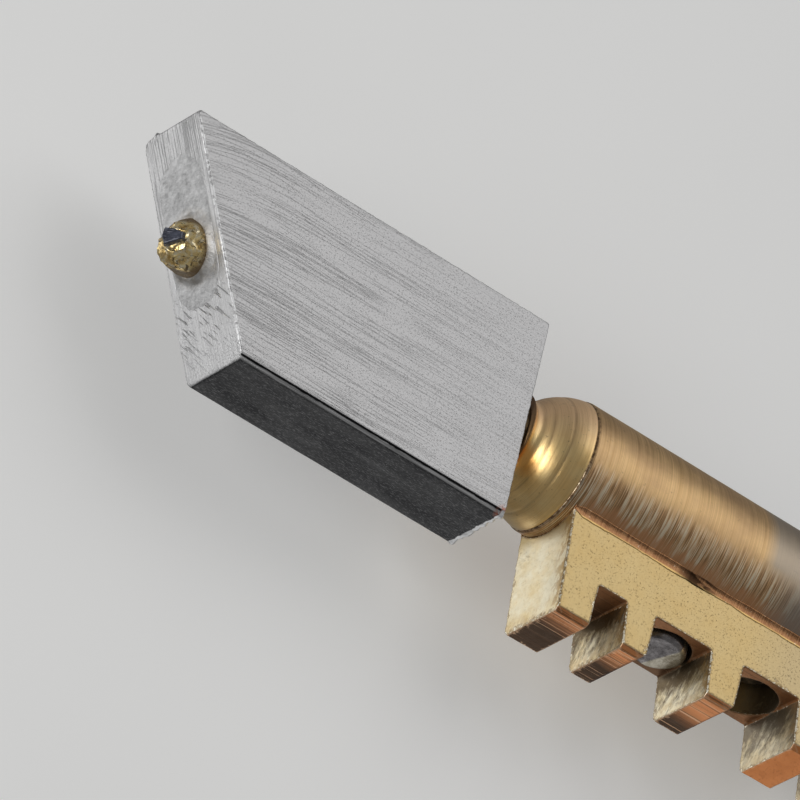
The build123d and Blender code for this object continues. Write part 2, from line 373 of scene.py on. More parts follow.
def bead():
    """The brass bead, hammered and scraped into facets round the stone."""
    cuts = [  # the way each facet looks, along the nose, across it and out of it, and its distance
        ((0.27, 1.07, 1.79), 0.90),
        ((0.75, -0.1, 1.0), 0.90),
        ((-0.9, -0.35, 0.55), 0.93),
        ((-0.75, 0.65, 0.6), 0.92),
        ((-0.15, 0.95, 0.45), 0.93),
        ((0.75, 0.7, 0.45), 0.93),
        ((-0.3, -0.85, 0.55), 0.90),
        ((0.45, -0.8, 0.45), 0.92),
    ]
    mesh = cut_ball(BEAD_REACH, BEAD_RISE, cuts, bevel=0.045)
    seat = on_nose(0.42, 0.74, 1.98)
    seat_width, seat_depth = 0.7, 0.12
    crumple_size, crumple_height, crumple_level = 0.95, 0.12, 0.15

    def move(place, normal):
        rise = max(0.0, (place - NOSE).dot(NOSE_OUT) / BEAD_RISE)
        ridges = noise.ridged_multi_fractal(place / crumple_size, 1.0, 2.1, 3, 0.8, 2.0)
        crumple = crumple_height * ridges - crumple_level
        folds = uneven(place, (0.45, 0.05, 7), (0.2, 0.02, 3))
        hammered = (crumple + folds) * min(1.0, 1.5 * rise)
        near_stone = math.exp(-(((place - seat).length / seat_width) ** 2))
        return place + normal * (hammered * (1 - near_stone) - seat_depth * near_stone)

    reshape(mesh, move)
    return new_piece("bead_hammered", mesh, HEAD, ["setting_bead"])


def stone():
    """The rough crystal: a dark chip whose flat face lies in the bead's upper side."""
    corners = [
        Vector((0.58, 0.28, 2.30)),
        Vector((1.03, 0.43, 2.10)),
        Vector((0.82, 0.88, 1.80)),
        Vector((0.47, 1.31, 1.53)),
        Vector((0.06, 1.25, 1.66)),
        Vector((0.00, 0.63, 2.14)),
        Vector((-0.02, 0.38, 2.34)),
    ]
    middle = sum(corners, Vector()) / len(corners)
    layers = ((0.9, -0.09), (1.0, -0.01), (1.25, 0.5), (1.1, 1.3))  # spread and depth below the face
    bm = bmesh.new()
    rings = []
    for spread, depth in layers:
        places = [middle + (corner - middle) * spread - STONE_OUT * depth for corner in corners]
        rings.append([bm.verts.new(on_nose(*place)) for place in places])
    skin(bm, rings)
    bmesh.ops.triangulate(bm, faces=bm.faces)
    mesh = remeshed(mesh_of(bm, "stone"), voxel=0.035)
    return new_piece("diamond_rough", mesh, HEAD, ["diamond"])


def comb():
    """The comb: sawn teeth with two rounded back corners and a slightly uneven skin."""
    mesh = remeshed(cad_mesh("comb"), voxel=0.07)
    backs = [RIM_X + x for x in TOOTH_BACKS]
    forward, down = Vector((1, 0, 0)), Vector((0, -1, 0))
    before, behind, rounding = 0.9, 0.1, 0.8

    def move(place, normal):
        bottom = max(place.y - COMB_LOW.y, 0)
        for back in backs:
            if -before < place.x - back < behind:
                rear = max(back - place.x, 0)
                place = rounded_off(place, (forward, rear), (down, bottom), rounding)
        return place + normal * uneven(place, (2.5, 0.012, 1), (0.45, 0.008, 2), (0.16, 0.006, 3))

    reshape(mesh, move)
    return new_piece("comb_sawn", mesh, HANDLE, ["comb"])


def seam(node, name, side):
    """A fillet of solder along the comb: hollow in section, uneven in width, narrow at its ends."""
    low, high = box(node)
    half = (COMB_HIGH.z - COMB_LOW.z) / 2
    meet_y = -math.sqrt(BARREL_RADIUS**2 - half**2)
    step, around = 0.08, 10
    steps = int((high.x - low.x) / step)
    usual_width, end_share, end_steps = 0.32, 0.35, 12
    on_barrel, on_comb = 0.8, 1.4  # how far the fillet reaches up and down, in widths
    bm = bmesh.new()
    rings = []
    for i in range(steps + 1):
        x = low.x + (high.x - low.x) * i / steps
        width = usual_width + 0.07 * lumps(Vector((x, 0, side)), 2.4, 4)
        width += 0.03 * lumps(Vector((x, side, 0)), 0.5, 2)
        width *= min(1.0, end_share + i / end_steps, end_share + (steps - i) / end_steps)
        turned_up = math.atan2(half, meet_y) - on_barrel * width / BARREL_RADIUS
        start = Vector((x, BARREL_RADIUS * math.cos(turned_up), BARREL_RADIUS * math.sin(turned_up)))
        end = Vector((x, meet_y - on_comb * width, half + 0.02))
        hollow = Vector((x, meet_y, half)) * 0.75 + (start + end) * 0.125
        section = []
        for k in range(around + 1):
            t = k / around
            curve = start * (1 - t) ** 2 + hollow * 2 * t * (1 - t) + end * t**2
            grain = 0.005 + 0.01 * lumps(curve, 0.22, 5) * math.sin(math.pi * t)
            section.append(curve + Vector((0, -0.6, 0.8)) * grain)
        section += [Vector((x, end.y, half - 0.15)), Vector((x, start.y + 0.05, start.z - 0.25))]
        rings.append([bm.verts.new((v.x, v.y, AXIS_Z + side * v.z)) for v in section])
    skin(bm, rings)
    return new_piece(name, mesh_of(bm, name), HANDLE, [node])


def barrel():
    """The drawn tube with its rolled crimps, a softened rim and the faint flats of hand polishing."""
    along, radii = outer_profile("barrel", 0.1, BARREL_LOW.x, BARREL_HIGH.x)
    rim_width, rim_drop, wall = 0.3, 0.12, 1.04
    from_end = np.minimum(along - along[0], along[-1] - along)
    softened = BARREL_RADIUS - rim_drop * (1 - from_end / rim_width) ** 2
    radii = np.where(from_end < rim_width, softened, radii)
    mesh = turned("barrel", along, radii, around=240, inner=BARREL_RADIUS - wall)
    roughened(mesh, (6.0, 0.012), (1.1, 0.004))
    return new_piece("barrel_brushed", mesh, HANDLE, ["barrel"])


def bush():
    """The polished dome in the barrel's mouth, with the fine rings that the lathe left."""
    line_depth, line_width = 0.02, 0.12
    least_radius, bore, tucked_in = 2, 1.7, 0.05
    along, radii = outer_profile("neck_bush", 0.03, box("neck_bush")[0].x, RIM_X)
    keep = radii > least_radius
    along = along[keep]
    smooth = smoothed(radii[keep], 3)
    for place in SCORED_LINES:
        smooth -= line_depth * np.exp(-(((along - RIM_X - place) / line_width) ** 2))
    along = np.append(along, RIM_X + tucked_in)
    smooth = np.append(smooth, smooth[-1])
    mesh = turned("bush", along, smooth, around=240, inner=bore)
    return new_piece("neck_dome", mesh, HANDLE, ["neck_bush"])


def handle():
    """Turned hardwood with two scored rings and a worn, slightly uneven skin."""
    shoulder = BARREL_HIGH.x + 0.02
    butt_x = box("handle")[1].x
    ringed, blend = 7, 6  # the front end that keeps its rings, and where smoothing sets in
    cap, tip = 8.0, 0.0004  # length of the domed butt, and the square of its end's share
    edge_width, edge_drop = 0.4, 0.25
    along, radii = outer_profile("handle", 0.12, shoulder, butt_x)
    smooth = smoothed(radii, 30)
    start = along - shoulder
    flat = np.clip((start - ringed) / blend, 0, 1)
    radii = radii * (1 - flat) + smooth * flat
    left = np.maximum(butt_x - along, 0)
    butt = np.interp(butt_x - cap, along, smooth)
    dome = butt * np.sqrt(np.maximum(1 - ((cap - left) / cap) ** 2, tip))
    radii = np.where(left < cap, dome, radii)
    softened = radii[4] - edge_drop * (1 - start / edge_width) ** 2
    radii = np.where(start < edge_width, softened, radii)
    mesh = turned("handle", along, radii, around=200)
    roughened(mesh, (14.0, 0.05), (3.0, 0.012))
    return new_piece("handle_turned", mesh, HANDLE, ["handle"])


def pin(node, name):
    """A steel or brass pin with a hand-filed, faintly uneven end."""
    mesh = roughened(remeshed(cad_mesh(node), voxel=0.06), (0.8, 0.02), (0.25, 0.008))
    return new_piece(name, mesh, HANDLE, [node])


def stop_pin():
    """The stop pin, its end filed to a low ridge like a roof."""
    low, high = box("stop_pin")
    mesh = remeshed(cad_mesh("stop_pin"), voxel=0.05)
    middle = (low.x + high.x) / 2
    slope, lowered = 0.17, 0.15
    filed, blend = 0.5, 1.0  # the filed end of the pin, and where it runs out
    shifted, narrowed = 0.12, 0.94

    def move(place, normal):
        share = max(0.0, 1 - max(0.0, place.y - low.y - filed) / blend)
        before_ridge = max(0.0, PIN_RIDGE.x + PIN_SKEW * (place.z - AXIS_Z) - place.x)
        place.y += (slope * before_ridge - lowered) * share
        place.x = middle + shifted + narrowed * (place.x - middle)
        return place + normal * uneven(place, (0.7, 0.02, 4), (0.3, 0.012, 2))

    reshape(mesh, move)
    return new_piece("stop_pin_filed", mesh, HANDLE, ["stop_pin"])


# ---- materials


class Look:
    """A procedural material, with short calls for the nodes that the pieces share."""

    def __init__(self, name, metallic=1.0):
        self.material = bpy.data.materials.new(name)
        self.material.use_nodes = True
        self.tree = self.material.node_tree
        self.shader = self.tree.nodes["Principled BSDF"]
        self.shader.inputs["Metallic"].default_value = metallic
        self.coords = self.tree.nodes.new("ShaderNodeTexCoord")
        self.color = grey(1.0)

    def put(self, socket, value):
        """Links a node's output to a socket, or sets a plain value or color on it."""
        if isinstance(value, bpy.types.NodeSocket):
            self.tree.links.new(value, socket)
        elif isinstance(value, tuple) and socket.type == "RGBA" and len(value) == 3:
            socket.default_value = (*value, 1.0)
        else:
            socket.default_value = value

    def node(self, kind, inputs, **settings):
        """A new node with its inputs linked or set."""
        made = self.tree.nodes.new(kind)
        for key, value in settings.items():
            setattr(made, key, value)
        for key, value in inputs.items():
            self.put(made.inputs[key], value)
        return made

    def place(self, size, turn=(0, 0, 0), source=None):
        """Coordinates in which a feature of the given size in millimetres is one unit."""
        inputs = {"Vector": source or self.coords.outputs["Object"]}
        sizes = (size,) * 3 if isinstance(size, float) else size
        inputs["Rotation"] = [math.radians(a) for a in turn]
        inputs["Scale"] = [s * MM for s in sizes]
        return self.node("ShaderNodeMapping", inputs, vector_type="TEXTURE").outputs[0]

    def noise(self, size, turn=(0, 0, 0), detail=3.0, rough=0.5, bend=0.0, source=None):
        """Noise from 0 to 1 whose lumps have the given size, turned by angles in degrees."""
        inputs = {"Vector": self.place(size, turn, source), "Scale": 1.0, "Detail": detail}
        inputs |= {"Roughness": rough, "Distortion": bend}
        return self.node("ShaderNodeTexNoise", inputs).outputs[0]

    def spots(self, size, low, high, start=0.0, end=1.0, **others):
        """Noise made into soft-edged spots where it passes from low to high."""
        return self.between(self.noise(size, **others), low, high, start, end)

    def depth(self, point, out):
        """How far a place lies behind a plane, in millimetres."""
        inputs = {0: self.coords.outputs["Object"], 1: point * MM}
        offset = self.node("ShaderNodeVectorMath", inputs, operation="SUBTRACT").outputs[0]
        inputs = {0: offset, 1: out / -MM}
        return self.node("ShaderNodeVectorMath", inputs, operation="DOT_PRODUCT").outputs["Value"]

    def around(self, point, radius):
        """1 within half the radius of a point in millimetres, fading to 0 at the radius."""
        inputs = {0: self.coords.outputs["Object"], 1: Vector(point) * MM}
        away = self.node("ShaderNodeVectorMath", inputs, operation="DISTANCE").outputs["Value"]
        return self.between(away, radius * MM, 0.5 * radius * MM)

    def swept(self, depth, reach, pull):
        """Coordinates in which lines along X bend upwards within reach of the nose, most at the top."""
        short = self.sum("MAXIMUM", self.sum("SUBTRACT", reach, depth), 0.0)
        low_y, high_y = -4.0, 5.0  # the bend grows between these heights
        higher = self.along("Y", low_y, high_y, pull * MM)
        shift = self.sum("MULTIPLY", self.sum("MULTIPLY", short, short), higher)
        moved = self.node("ShaderNodeCombineXYZ", {1: shift})
        inputs = {0: self.coords.outputs["Object"], 1: moved.outputs[0]}
        return self.node("ShaderNodeVectorMath", inputs, operation="ADD").outputs[0]

    def between(self, value, low, high, start=0.0, end=1.0):
        """Maps low..high to start..end and holds the ends."""
        inputs = {0: value, 1: low, 2: high, 3: start, 4: end}
        return self.node("ShaderNodeMapRange", inputs, clamp=True).outputs[0]

    def sum(self, operation, a, b=0.0):
        """One step of arithmetic."""
        return self.node("ShaderNodeMath", {0: a, 1: b}, operation=operation).outputs[0]

    def mix(self, share, a, b):
        """Color a, giving way to color b as the share goes from 0 to 1."""
        first, second, result = 6, 7, 2  # the mix node's sockets for colors
        inputs = {0: share, first: a, second: b}
        return self.node("ShaderNodeMix", inputs, data_type="RGBA").outputs[result]

    def part(self, share, mask):
        """A mask weakened to a share of itself."""
        return self.sum("MULTIPLY", mask, share)

    def base(self, tone, low, high, dark, light):
        """Starts the material's color, from dark to light as a tone goes from low to high."""
        self.color = self.mix(self.between(tone, low, high), dark, light)

    def over(self, color, mask, top, share):
        """A color with another laid over it by a mask, at most to a share."""
        return self.mix(self.part(share, mask), color, top)

    def paint(self, mask, top, share=1.0):
        """Lays a color over the material's own by a mask, at most to a share."""
        self.color = self.over(self.color, mask, top, share)

    def axis_part(self, kind, axis):
        """The part of the place (Object) or of the direction faced (Normal) along an axis."""
        parts = self.node("ShaderNodeSeparateXYZ", {0: self.coords.outputs[kind]})
        return parts.outputs["XYZ".index(axis)]

    def facing(self, axis, low, high):
        """How far the surface faces along an axis of its body: 0 below low, 1 above high."""
        return self.between(self.axis_part("Normal", axis), low, high)

    def along(self, axis, low, high, top=1.0):
        """0 to top as the place goes from low to high along an axis, in millimetres."""
        return self.between(self.axis_part("Object", axis), low * MM, high * MM, 0.0, top)

    def behind_rim(self, low, high, top=1.0):
        """The same along X, measured from the barrel's rim."""
        return self.along("X", RIM_X + low, RIM_X + high, top)

    def edges(self, low, high):
        """1 on convex edges, 0 on flats."""
        point = self.node("ShaderNodeNewGeometry", {}).outputs["Pointiness"]
        return self.between(point, low, high)

    def bump(self, height, depth, below=None):
        """A bump of the given depth in millimetres, on top of another bump."""
        inputs = {"Height": height, "Distance": depth * MM, "Strength": 1.0}
        made = self.node("ShaderNodeBump", inputs)
        if below is not None:
            self.put(made.inputs["Normal"], below)
        return made.outputs[0]

    def brush(self, strength):
        """Stretches highlights across brushing that runs round the X axis."""
        tangent = self.node("ShaderNodeTangent", {}, direction_type="RADIAL", axis="X")
        self.put(self.shader.inputs["Tangent"], tangent.outputs[0])
        self.shader.inputs["Anisotropic"].default_value = strength

    def finish(self, roughness, normal=None, **others):
        """The finished material."""
        self.put(self.shader.inputs["Base Color"], self.color)
        self.put(self.shader.inputs["Roughness"], roughness)
        if normal is not None:
            self.put(self.shader.inputs["Normal"], normal)
        for key, value in others.items():
            self.put(self.shader.inputs[key.replace("_", " ")], value)
        return self.material


def grey(level):
    """A neutral color."""
    return (level, level, level)


def head_steel():
    """Mottled grey steel, scratched on the sides, filed on the nose and painted lighter there as
    painted light, with charcoal painted underneath as shade.
    """
    look = Look("head_steel", 0.8)
    dark_steel = (0.505, 0.50, 0.50)
    light_steel = (0.625, 0.62, 0.62)
    scratch_grey = grey(0.14)
    lit_nose_grey = grey(0.76)
    filed_grey = grey(0.26)
    gouge_grey = grey(0.10)
    pit_grey = grey(0.20)
    rust = (0.46, 0.17, 0.11)
    burr_glint_white = grey(0.95)
    nose = look.facing("X", -0.6, -0.75)
    rest = look.sum("SUBTRACT", 1.0, nose)
    mottle = look.noise(2.2, detail=6, rough=0.65)
    look.base(mottle, 0.3, 0.7, dark_steel, light_steel)
    line = look.part(rest, side_scratches(look))
    pits = look.spots((0.12, 0.10, 0.10), 0.56, 0.74, detail=2)
    look.paint(line, scratch_grey, 0.44)
    filed, gouge = nose_marks(look)
    filed, gouge = look.part(nose, filed), look.part(nose, gouge)
    # painted light: the nose face is painted a lighter grey
    look.paint(nose, lit_nose_grey, 0.85)
    look.paint(filed, filed_grey, 0.7)
    look.paint(gouge, gouge_grey, 0.5)
    look.paint(pits, pit_grey, 0.3)
    # painted shade and light across the bevel beside the underside
    look.paint(look.part(rest, look.facing("Y", -0.35, -0.55)), running_bevel(look))
    # painted shade: the downward faces are painted charcoal
    look.paint(look.part(rest, look.facing("Y", -0.84, -0.95)), underside(look))
    corner = look.around((HEAD_HIGH.x, HEAD_LOW.y, HEAD_HIGH.z - 0.1), 0.75)
    blotch = look.spots(0.3, 0.38, 0.52)
    look.paint(look.part(blotch, corner), rust)
    # painted highlight: bright lines where burrs catch the light
    look.paint(head_burr_glints(look), burr_glint_white)
    roughness = look.between(mottle, 0.3, 0.7, 0.40, 0.50)
    height = look.sum("SUBTRACT", look.part(0.3, mottle), look.sum("ADD", look.part(0.6, line), pits))
    normal = look.bump(height, 0.009)
    cuts = look.sum("ADD", look.part(0.5, filed), gouge)
    normal = look.bump(look.sum("SUBTRACT", 0.0, cuts), 0.05, normal)
    return look.finish(roughness, normal)


def head_burr_glints(look):
    """Painted highlights on burrs: a broken bright line where the nose meets the side, and one along
    the underside's rear edge.
    """
    dots = look.spots(0.3, 0.44, 0.52)
    near_nose = look.between(look.depth(NOSE, NOSE_OUT), 0.2, 0.13)
    near_side = look.along("Z", HEAD_HIGH.z - 0.17, HEAD_HIGH.z - 0.1)
    above = look.along("Y", HEAD_LOW.y + 0.6, HEAD_LOW.y + 0.9)
    front = look.part(look.part(above, dots), look.part(near_nose, near_side))
    wander = look.part(0.25, look.noise(0.35))
    depth = look.depth(Vector((HEAD_HIGH.x, 0, 0)), Vector((1, 0, 0)))
    from_rear = look.sum("ADD", depth, wander)
    near_rear = look.between(from_rear, 0.42, 0.36)
    near_foot = look.along("Y", HEAD_LOW.y + 0.3, HEAD_LOW.y + 0.2)
    return look.sum("MAXIMUM", front, look.part(near_rear, near_foot))


def running_bevel(look):
    """The bevel beside the underside, painted as light and shade: black shade next to the side face,
    then a lighter painted lit strip.
    """
    dull_grey = grey(0.34)
    lit_strip_grey = grey(0.74)
    edge_shade_black = (0.008, 0.008, 0.009)
    ragged = look.part(0.3, look.noise((0.5, 0.2, 0.2)))
    place = look.sum("ADD", look.along("Z", HEAD_HIGH.z - 0.27, HEAD_HIGH.z), ragged)
    shade = look.between(place, 0.68, 0.8)
    streaks = look.noise((2.5, 0.08, 0.08), detail=2)
    strip = look.mix(look.between(streaks, 0.35, 0.65), dull_grey, lit_strip_grey)
    return look.mix(shade, strip, edge_shade_black)


def side_scratches(look):
    """Long thin scratches that bend towards the nose near the back edge."""
    depth = look.depth(NOSE, NOSE_OUT)
    bend_depth, bend_pull = 6.0, 0.0283
    swept = look.swept(depth, bend_depth, bend_pull)
    nearer = look.between(depth, 20.0, 2.0, 0.35, 1.0)
    gate = look.part(nearer, look.spots((7.0, 3.0, 3.0), 0.28, 0.46, detail=1))
    long = look.spots((16.0, 0.06, 4.0), 0.705, 0.725, detail=0, source=swept)
    short = look.spots((9.0, 0.055, 4.0), 0.705, 0.725, turn=(0, 0, 2), detail=0, source=swept)
    cross = look.spots((7.0, 0.055, 4.0), 0.71, 0.73, turn=(0, 0, -3), detail=0, source=swept)
    faint = look.spots((6.0, 0.05, 3.0), 0.62, 0.70, turn=(0, 0, -1), detail=0, source=swept)
    line = look.part(gate, look.sum("MAXIMUM", look.sum("MAXIMUM", long, short), cross))
    return look.sum("MAXIMUM", line, look.part(0.22, faint))


def nose_marks(look):
    """Coarse lines filed along the nose, and slanting gouges close under the setting."""
    angle = math.degrees(math.atan2(NOSE_UP.y, NOSE_UP.x))
    filed = look.spots((5.0, 0.3, 0.08), 0.47, 0.58, turn=(0, 0, angle), detail=2, rough=0.6)
    height = look.depth(NOSE, -NOSE_UP)
    high = look.between(height, -1.0, 3.0, 0.3, 1.0)
    lower = look.between(height, -6.5, -4.2, 0.2, 1.0)
    low = look.part(lower, look.between(height, -2.4, -2.9))
    slanted = look.noise((1.5, 0.4, 0.16), (0, 44, angle), detail=1, bend=0.3)
    gouge = look.part(low, look.between(slanted, 0.61, 0.68))
    return look.part(high, filed), gouge


def underside(look):
    """Painted shade: charcoal on the downward faces, with fine pale specks in rows."""
    shade_charcoal = (0.026, 0.026, 0.028)
    lighter_shade_charcoal = (0.062, 0.062, 0.063)
    speck_grey = grey(0.24)
    specks = look.spots((0.25, 0.07, 0.07), 0.52, 0.74, rough=0.7)
    tone = look.spots((6.0, 1.0, 1.0), 0.35, 0.65, detail=2)
    dark = look.mix(tone, shade_charcoal, lighter_shade_charcoal)
    return look.mix(specks, dark, speck_grey)


def solder():
    """Dull grey solder with bright scuffs, and brown flux where it meets the bead."""
    look = Look("solder", 0.75)
    dull_grey = grey(0.40)
    clean_grey = grey(0.68)
    scuffed_grey = grey(0.85)
    flux_brown = (0.30, 0.24, 0.15)
    mottle = look.noise(0.8, detail=5, rough=0.6)
    look.base(mottle, 0.38, 0.62, dull_grey, clean_grey)
    scuffs = look.spots((0.6, 0.05, 0.05), 0.6, 0.75, turn=(0, 0, 60), detail=2)
    look.paint(scuffs, scuffed_grey, 0.5)
    skirt = look.around(NOSE, BEAD_REACH + 0.75)
    ragged = look.spots(0.5, 0.35, 0.6, 0.3, 0.9)
    look.paint(look.part(ragged, skirt), flux_brown)
    normal = look.bump(look.noise(0.3, detail=4, rough=0.6), 0.06)
    return look.finish(look.between(mottle, 0.3, 0.7, 0.38, 0.52), normal)


def bead_brass():
    """Bright scraped brass round the stone, in a skirt of brown flux, with painted shade along its
    creases.
    """
    look = Look("bead_brass", 0.88)
    dark_gold = (0.62, 0.40, 0.13)
    gold = (1.0, 0.78, 0.36)
    pale_gold = (1.0, 0.94, 0.72)
    crease_shade_brown = (0.05, 0.03, 0.015)
    flux_brown = (0.27, 0.19, 0.11)
    tone = look.noise(0.8, detail=4, rough=0.6)
    look.base(tone, 0.38, 0.58, dark_gold, gold)
    bright = look.spots(0.3, 0.50, 0.64)
    look.paint(bright, pale_gold, 0.7)
    wander = look.sum("SUBTRACT", look.noise((0.9, 0.6, 0.8), detail=2, bend=1.2), 0.5)
    crease_shade = look.between(look.sum("ABSOLUTE", wander), 0.02, 0.006)
    # painted shade: thin dark lines along the creases
    look.paint(crease_shade, crease_shade_brown, 0.85)
    ragged = look.part(0.5, look.noise(0.6))
    scraped = look.sum("ADD", look.around(on_nose(-0.05, 0.75, 1.7), 2.3), ragged)
    look.paint(look.between(scraped, 0.95, 0.65), flux_brown, 0.92)
    normal = look.bump(look.noise((0.22, 0.3, 0.22), detail=2), 0.05)
    return look.finish(look.between(tone, 0.3, 0.7, 0.2, 0.36), normal)


def crystal():
    """A dark blue-grey stone with fine steps, under a gloss."""
    look = Look("crystal", 0.3)
    deep_blue = (0.03, 0.033, 0.05)
    slate = (0.10, 0.11, 0.15)
    tone = look.noise((0.9, 0.5, 0.9))
    look.base(tone, 0.35, 0.65, deep_blue, slate)
    step = look.noise((0.7, 0.08, 0.7), (20, 0, 30), detail=1)
    normal = look.bump(look.between(step, 0.45, 0.55), 0.01)
    return look.finish(0.2, normal, Coat_Weight=0.5, Coat_Roughness=0.1)


def dome_brass():
    """Polished brass with lathe rings and scored lines, matt where it turns away from the comb, with a
    painted orange reflection and painted shade in the gap at the head.
    """
    look = Look("dome_brass", 0.85)
    dark_gold = (0.88, 0.57, 0.21)
    gold = (1.0, 0.74, 0.34)
    matt_gold = (0.92, 0.64, 0.38)
    ring_brown = (0.36, 0.20, 0.07)
    line_brown = (0.22, 0.12, 0.06)
    reflection_orange = (1.0, 0.48, 0.10)
    head_gap_shade_brown = (0.12, 0.05, 0.02)
    speck_brown = (0.2, 0.12, 0.06)
    tone = look.noise(1.5, detail=4)
    look.base(tone, 0.3, 0.7, dark_gold, gold)
    matt = look.facing("Y", -0.25, 0.35)
    look.paint(matt, matt_gold, 0.9)
    rings = look.noise((0.045, 5.0, 5.0), rough=0.6)
    look.paint(look.between(rings, 0.6, 0.35, 0.0, 0.25), ring_brown)
    for place in SCORED_LINES:
        before = look.behind_rim(place - 0.14, place)
        behind = look.behind_rim(place + 0.14, place)
        line = look.part(look.part(before, behind), look.between(tone, 0.35, 0.6, 0.05, 0.45))
        look.paint(line, line_brown)
    # painted reflection: an orange patch on the dome near the head
    glow = look.around((RIM_X - 3.3, -2.2, AXIS_Z + 2.0), 1.3)
    look.paint(glow, reflection_orange, 0.85)
    # painted shade in the gap between the head and the dome
    root = look.behind_rim(-3.42, -3.6)
    look.paint(root, head_gap_shade_brown, 0.8)
    specks = look.spots(0.2, 0.66, 0.74)
    look.paint(specks, speck_brown, 0.5)
    normal = look.bump(rings, 0.008)
    look.brush(0.5)
    coat = {"Coat_Weight": 0.5, "Coat_Roughness": 0.3}
    return look.finish(look.between(matt, 0.0, 1.0, 0.31, 0.55), normal, **coat)


def barrel_brass():
    """Brass brushed round its axis: brush streaks painted as dark and bright reflections near the comb,
    and a painted grey reflection further back.
    """
    look = Look("barrel_brass")
    dark_brass = (0.52, 0.33, 0.15)
    light_brass = (0.78, 0.54, 0.28)
    tarnish = (0.36, 0.22, 0.13)
    nick_brown = (0.18, 0.11, 0.06)
    dark_streak_reflection = (0.34, 0.19, 0.09)
    middle_streak_reflection = (0.76, 0.48, 0.25)
    bright_streak_reflection = (1.0, 0.88, 0.66)
    foot_copper = (0.72, 0.37, 0.18)
    grey_reflection = (0.36, 0.33, 0.29)
    rim_brown = (0.14, 0.08, 0.045)
    fine = look.noise((0.05, 5.0, 5.0), rough=0.6)
    cloud = look.noise((4.0, 2.5, 2.5), detail=4, rough=0.6)
    look.base(fine, 0.35, 0.65, dark_brass, light_brass)
    look.paint(look.between(cloud, 0.42, 0.68, 0.0, 0.45), tarnish)
    nicks = look.spots((0.35, 0.25, 0.25), 0.66, 0.76)
    look.paint(nicks, nick_brown, 0.4)
    streaks = look.noise((0.06, 4.0, 4.0), detail=2, rough=0.6)
    lengths = look.noise((0.4, 1.4, 1.4), detail=2)
    wavy = look.sum("SUBTRACT", lengths, 0.5)
    height = look.sum("ADD", look.axis_part("Normal", "Y"), look.part(0.3, wavy))
    low = look.between(height, -0.22, -0.42)
    foot = look.part(look.between(height, -0.62, -0.72), look.behind_rim(0.6, 1.6))
    level = look.sum("ADD", streaks, look.part(0.35, wavy))
    # painted reflections: the brushing's streaks painted dark and bright on the lower side
    streak_reflections = look.mix(look.between(level, 0.38, 0.50), dark_streak_reflection, middle_streak_reflection)
    streak_reflections = look.mix(look.between(level, 0.52, 0.62), streak_reflections, bright_streak_reflection)
    look.paint(low, streak_reflections, 0.9)
    look.paint(foot, foot_copper, 0.8)
    # painted reflection: grey towards the rear
    look.paint(grey_reflection_end(look), grey_reflection, 0.75)
    rim = look.behind_rim(0.32, 0.1)
    pitted = look.spots(0.25, 0.45, 0.55, 0.25, 0.9)
    look.paint(look.part(pitted, rim), rim_brown)
    roughness = look.between(fine, 0.3, 0.7, 0.36, 0.46)
    normal = look.bump(look.sum("ADD", fine, look.part(low, streaks)), 0.010)
    look.brush(0.5)
    return look.finish(roughness, normal)


def grey_reflection_end(look):
    """Where the painted grey reflection starts: a sharp line on its back, further along on the comb's
    side.
    """
    back = look.behind_rim(13.3, 14.3)
    lower = look.behind_rim(14.5, 16.8)
    turned_down = look.facing("Y", -0.2, -0.45)
    return look.between(turned_down, 0.0, 1.0, back, lower)


